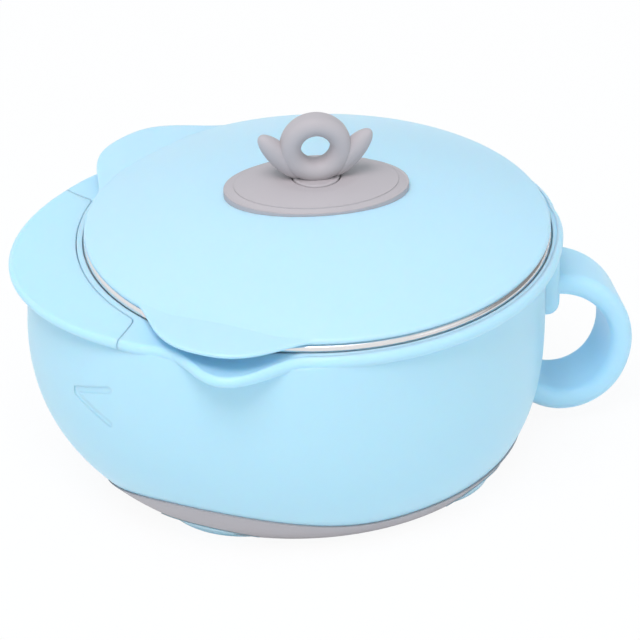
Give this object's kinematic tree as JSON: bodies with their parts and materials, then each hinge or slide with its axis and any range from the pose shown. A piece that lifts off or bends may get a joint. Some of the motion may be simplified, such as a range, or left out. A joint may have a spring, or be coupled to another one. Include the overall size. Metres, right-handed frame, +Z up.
{
  "type": "insulated feeding bowl with lid",
  "caption": "Child's warm-water bowl: steel bowl in a blue plastic shell with pouring lip, loop handle and wavy grey base band, domed lid with side tabs and a grey ring knob.",
  "frame": {"origin": "on the floor under the middle of the object, on the axis of the steel bowl", "axes": "+Z up along the bowl's axis, +X towards the handle, -X towards the front visor, +Y to the object's left-hand side tab"},
  "size_m": [0.1753, 0.1418, 0.1029],
  "materials": {
    "shell_blue": "satin",
    "lid_blue": "satin",
    "steel": "polished",
    "grey_soft": "matte",
    "clear_soft": "matte"
  },
  "bodies": {
    "base": {"outer_shell": "shell_blue", "inner_bowl": "steel", "bowl_seal": "clear_soft", "handle": "shell_blue", "wave_band": "grey_soft", "foot_front_left": "shell_blue", "foot_front_right": "shell_blue", "foot_rear_left": "shell_blue", "foot_rear_right": "shell_blue"},
    "lid": {"lid_shell": "lid_blue", "lid_seal": "clear_soft", "knob_plate": "grey_soft", "lid_knob": "grey_soft"},
    "fill_cover": {"fill_cover": "shell_blue", "fill_plug": "clear_soft"}
  },
  "joints": [
    {"name": "lid_lift", "type": "slide", "parent": "base", "child": "lid", "axis": [0, 0, 1], "range_m": [0, 0.06]},
    {"name": "cover_pull", "type": "slide", "parent": "base", "child": "fill_cover", "axis": [0, 0, 1], "range_m": [0, 0.03]}
  ]
}
